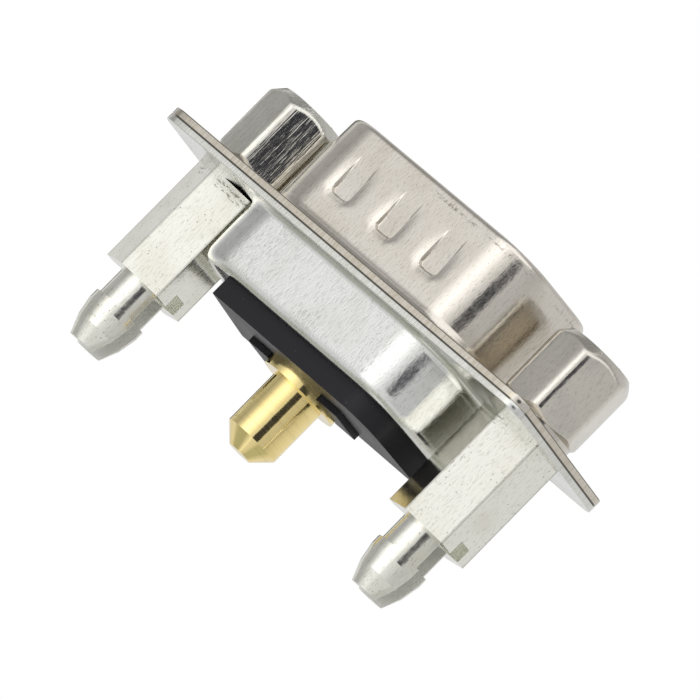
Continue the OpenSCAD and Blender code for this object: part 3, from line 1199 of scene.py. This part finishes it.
@dataclass(frozen=True)
class Card:
    """An oval card or lamp in the room, by its bearing and size in degrees.

    The azimuth runs from +X towards +Y, half is the half width at half strength, soft the width of
    the edge, and tall the height over the width.
    """

    azimuth: float
    elevation: float
    half: float
    soft: float
    tall: float = 1.0

    def mask(self, g: Graph) -> Value:
        """Finds the card: a smooth step on |q|.

        q is the direction less the bearing, its height divided by tall.

        Args:
            g: the world's graph.

        Returns:
            1 inside and 0 outside.
        """
        a, e = math.radians(self.azimuth), math.radians(self.elevation)
        bearing = (math.cos(a) * math.cos(e), math.sin(a) * math.cos(e), math.sin(e))
        here = g.node("ShaderNodeTexCoord").outputs["Generated"]
        away = g.node("ShaderNodeVectorMath", {"operation": "SUBTRACT"}, {0: here, 1: bearing})
        squeeze = (1.0, 1.0, 1.0 / self.tall)
        squeezed = g.node("ShaderNodeVectorMath", {"operation": "MULTIPLY"}, {0: away.outputs[0], 1: squeeze})
        size = g.node("ShaderNodeVectorMath", {"operation": "LENGTH"}, {0: squeezed.outputs[0]})
        outer, inner = (math.radians(self.half + sign * self.soft / 2.0) for sign in (1.0, -1.0))
        return Value(g, size.outputs["Value"]).step(outer, max(inner, 0.0))


@dataclass(frozen=True)
class Studio:
    """Camera, floor, lamps and the white room round the connector.

    The camera's angles are in degrees and its places in metres. The room's levels go by azimuth,
    and its zones by height, the sine of the elevation: each pair runs from no effect to full.
    """

    azimuth: float = 35.582
    elevation: float = -5.633
    distance: float = 0.56313
    roll: float = 44.599
    lens: float = 532.94
    sensor: float = 36.0
    clip: Pair = (0.05, 10.0)
    aim: Triple = (0.000282, 0.000203, 0.004888)
    floor_drop: float = 0.25
    floor_half: float = 3.0
    floor_tone: float = 0.9
    levels: tuple[Pair, ...] = (
        (-180.0, 0.46),
        (-168.0, 0.50),
        (-152.0, 0.42),
        (-134.0, 0.66),
        (-117.0, 1.30),
        (-99.0, 1.75),
        (-84.0, 1.35),
        (-70.0, 0.88),
        (-24.0, 0.62),
        (10.0, 0.62),
        (42.0, 0.78),
        (88.0, 0.85),
        (130.0, 0.78),
        (167.0, 0.76),
        (180.0, 0.46),
    )
    brightest: float = 2.0
    upper: Pair = (0.25, 0.75)
    upper_loss: float = 0.22
    lower: Pair = (-0.35, -0.60)
    lower_level: float = 0.82
    lower_share: float = 0.75
    low: Pair = (-0.60, -0.82)
    nadir: Pair = (-0.995, -0.95)
    low_loss: float = 0.34
    low_tint: Triple = (0.97, 1.0, 0.88)
    lamp: Card = Card(-62.0, 25.0, 38.0, 26.0)
    lamp_rise: Pair = (0.15, 0.42)
    lamp_level: float = 1.35
    grey_card: Card = Card(137.0, 12.0, 20.0, 8.0, 0.55)
    grey: Triple = (0.16, 0.16, 0.13)
    black_card: Card = Card(-47.5, 5.4, 13.0, 3.0, 0.5)
    black: Triple = (0.045, 0.045, 0.055)
    bounces: int = 16
    glossy_bounces: int = 12

    def camera(self) -> None:
        """Places the camera on its bearing, rolled about its own axis."""
        a, e, r = (math.radians(v) for v in (self.azimuth, self.elevation, self.roll))
        back = Vector((math.sin(a) * math.cos(e), -math.cos(a) * math.cos(e), math.sin(e)))
        level = Vector((0.0, 0.0, 1.0)).cross(back).normalized()
        upright = back.cross(level)
        right = level * math.cos(r) + upright * math.sin(r)
        up = upright * math.cos(r) - level * math.sin(r)
        turn = Matrix((right, up, back)).transposed()
        data = bpy.data.cameras.new("camera")
        data.lens = self.lens
        data.sensor_width = self.sensor
        data.clip_start, data.clip_end = self.clip
        made = bpy.data.objects.new("camera", data)
        made.matrix_world = Matrix.Translation(Vector(self.aim) + back * self.distance) @ turn.to_4x4()
        bpy.context.scene.collection.objects.link(made)
        bpy.context.scene.camera = made

    def floor(self) -> None:
        """Lays a pale floor well below the part; metal looks through it at the room."""
        size, z = self.floor_half, -self.floor_drop
        corners = [(-size, -size, z), (size, -size, z), (size, size, z), (-size, size, z)]
        mesh = bpy.data.meshes.new("floor")
        mesh.from_pydata(corners, [], [(0, 1, 2, 3)])
        made = bpy.data.objects.new("floor", mesh)
        bpy.context.scene.collection.objects.link(made)
        material, g = blank("floor")
        tone = self.floor_tone
        inputs = {"Base Color": (tone, tone, tone, 1.0), "Roughness": tone}
        shader = g.node("ShaderNodeBsdfPrincipled", None, inputs)
        clear = g.node("ShaderNodeBsdfTransparent")
        glossy = g.node("ShaderNodeLightPath").outputs["Is Glossy Ray"]
        mixed = g.node("ShaderNodeMixShader", None, {0: glossy, 1: shader.outputs[0], 2: clear.outputs[0]})
        g.node("ShaderNodeOutputMaterial", None, {"Surface": mixed.outputs[0]})
        mesh.materials.append(material)

    def room(self) -> None:
        """Makes a white room: pure white to the eye, with a lamp and cards for the metal to reflect."""
        world = bpy.data.worlds.new("room")
        bpy.context.scene.world = world
        world.use_nodes = True
        g = Graph(world.node_tree)
        coord = g.node("ShaderNodeTexCoord")
        split = g.node("ShaderNodeSeparateXYZ", None, {0: coord.outputs["Generated"]})
        x, y, z = (Value(g, out) for out in split.outputs)
        turn = y.bearing(x) * (0.5 / math.pi) + 0.5
        stops = [((at + 180.0) / 360.0, (level / self.brightest,) * 3) for at, level in self.levels]
        ramp = g.node("ShaderNodeValToRGB", {"stops": stops}, {0: turn})
        level = Value(g, ramp.outputs["Color"]) * self.brightest
        low = z.step(*self.low) * z.step(*self.nadir)
        level = level * (1.0 - self.upper_loss * z.step(*self.upper))
        level = level + (self.lower_level - level) * z.step(*self.lower) * self.lower_share
        level = level * (1.0 - self.low_loss * low)
        level = level + (self.lamp_level - level) * (z.step(*self.lamp_rise) * self.lamp.mask(g))
        light = g.mix(self.grey_card.mask(g), level, self.grey)
        light = g.mix(self.black_card.mask(g), light, self.black)
        white = (1.0, 1.0, 1.0)
        light = g.mix(1.0, light, g.mix(low, white, self.low_tint), "MULTIPLY")
        seen = g.node("ShaderNodeLightPath").outputs["Is Camera Ray"]
        back = g.node("ShaderNodeBackground", None, {"Color": g.mix(seen, light, white), "Strength": 1.0})
        g.node("ShaderNodeOutputWorld", None, {"Surface": back.outputs[0]})

    def build(self) -> None:
        """Makes the whole studio and sets how far light is followed."""
        scene = bpy.context.scene
        scene.view_settings.view_transform = "Standard"
        scene.cycles.max_bounces = self.bounces
        scene.cycles.glossy_bounces = self.glossy_bounces
        self.camera()
        self.floor()
        self.room()


# ---- the connector ------------------------------------------------------------------------

NICKEL = Plating(
    "warm_nickel",
    (0.70, 0.66, 0.60),
    (0.52, 0.47, 0.38),
    0.16,
    # Painted shade: a speckled dark band just below the rounded rim
    painted_shade_heights=(13.85 * MM,),
    seams=(8.13 * MM, 7.72 * MM),
)
NUT_NICKEL = Plating(
    "nut_nickel",
    (0.69, 0.66, 0.595),
    (0.50, 0.47, 0.44),
    0.13,
    grain_depth=0.003 * MM,
    pit_share=0.05,
)
DRAWN_NICKEL = Plating(
    "drawn_nickel",
    (0.68, 0.665, 0.61),
    (0.52, 0.48, 0.40),
    0.11,
    grain_depth=0.003 * MM,
    long_depth=0.028 * MM,
)
TIN = Plating(
    "bright_tin",
    (0.79, 0.79, 0.775),
    (0.62, 0.62, 0.56),
    0.17,
    grain_depth=0.0065 * MM,
    smudge=0.3,
    seams=(7.68 * MM,),
)
PIN_TIN = Plating(
    "pin_tin",
    (0.84, 0.83, 0.765),
    (0.68, 0.65, 0.52),
    0.16,
    grain_depth=0.003 * MM,
    pit_share=0.10,
    # Painted shade: speckled dark bands just under the flange
    painted_shade_heights=(7.0 * MM, 6.7 * MM),
    corner_r=2.748 * MM,
    # The sawn slot, brightened with painted light
    sawn=0.5 * MM,
)
GOLD = Plating(
    "gold", (0.92, 0.755, 0.35), (0.82, 0.62, 0.24), 0.10, Grain.TURNED, 0.0005 * MM, pit_share=0.02
)
BRONZE = Plating("bronze", (0.72, 0.50, 0.28), (0.55, 0.36, 0.18), 0.28)
BLACK = Moulding("black_moulding", (0.010, 0.010, 0.013), 0.42)

Finish = Plating | Moulding
FINISHES: dict[str, Finish] = {
    "front_shell": NICKEL,
    "rear_shell": TIN,
    "front_insulator": BLACK,
    "rear_insulator": BLACK,
    "power_contact": GOLD,
    "retention_clip": BRONZE,
    "standoff_left": PIN_TIN,
    "standoff_right": PIN_TIN,
    "screwlock_left": NUT_NICKEL,
    "screwlock_right": NUT_NICKEL,
    "lock_washer_left": NUT_NICKEL,
    "lock_washer_right": NUT_NICKEL,
}


@dataclass
class Connector:
    """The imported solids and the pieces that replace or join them, with their finishes."""

    left_turn: float = 9.0
    right_turn: float = 20.0
    pieces: list[tuple[bpy.types.Object, Finish]] = field(default_factory=list)

    def press(self) -> None:
        """Makes the new pieces: the two pressed shells, the two screwlocks and their threads."""
        self.pieces = [(FrontShell().build(), NICKEL), (RearShell().build(), TIN)]
        sides = ((-1.0, "left", self.left_turn, DRAWN_NICKEL), (1.0, "right", self.right_turn, NUT_NICKEL))
        for side, name, turn, finish in sides:
            x = side * Sheet.hole_x
            self.pieces.append((Screwlock(x, turn).build("jackscrew_" + name, "screwlock_" + name), finish))
            self.pieces.append((Thread(x).build("thread_" + name), NUT_NICKEL))

    def dress(self) -> None:
        """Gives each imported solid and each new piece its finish, and logs it."""
        made: dict[str, bpy.types.Material] = {}
        worn = [(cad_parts[name], finish) for name, finish in FINISHES.items()] + self.pieces
        for thing, finish in worn:
            if finish.name not in made:
                made[finish.name] = finish.material()
            thing.data.materials.clear()
            thing.data.materials.append(made[finish.name])
            log.info("%s: %s", thing.name, finish.name)


def main() -> None:
    """Builds the studio and the connector."""
    logging.basicConfig(level=logging.INFO, format="%(name)s: %(message)s")
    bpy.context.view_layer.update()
    Studio().build()
    connector = Connector()
    connector.press()
    connector.dress()


if __name__ == "__main__":
    main()
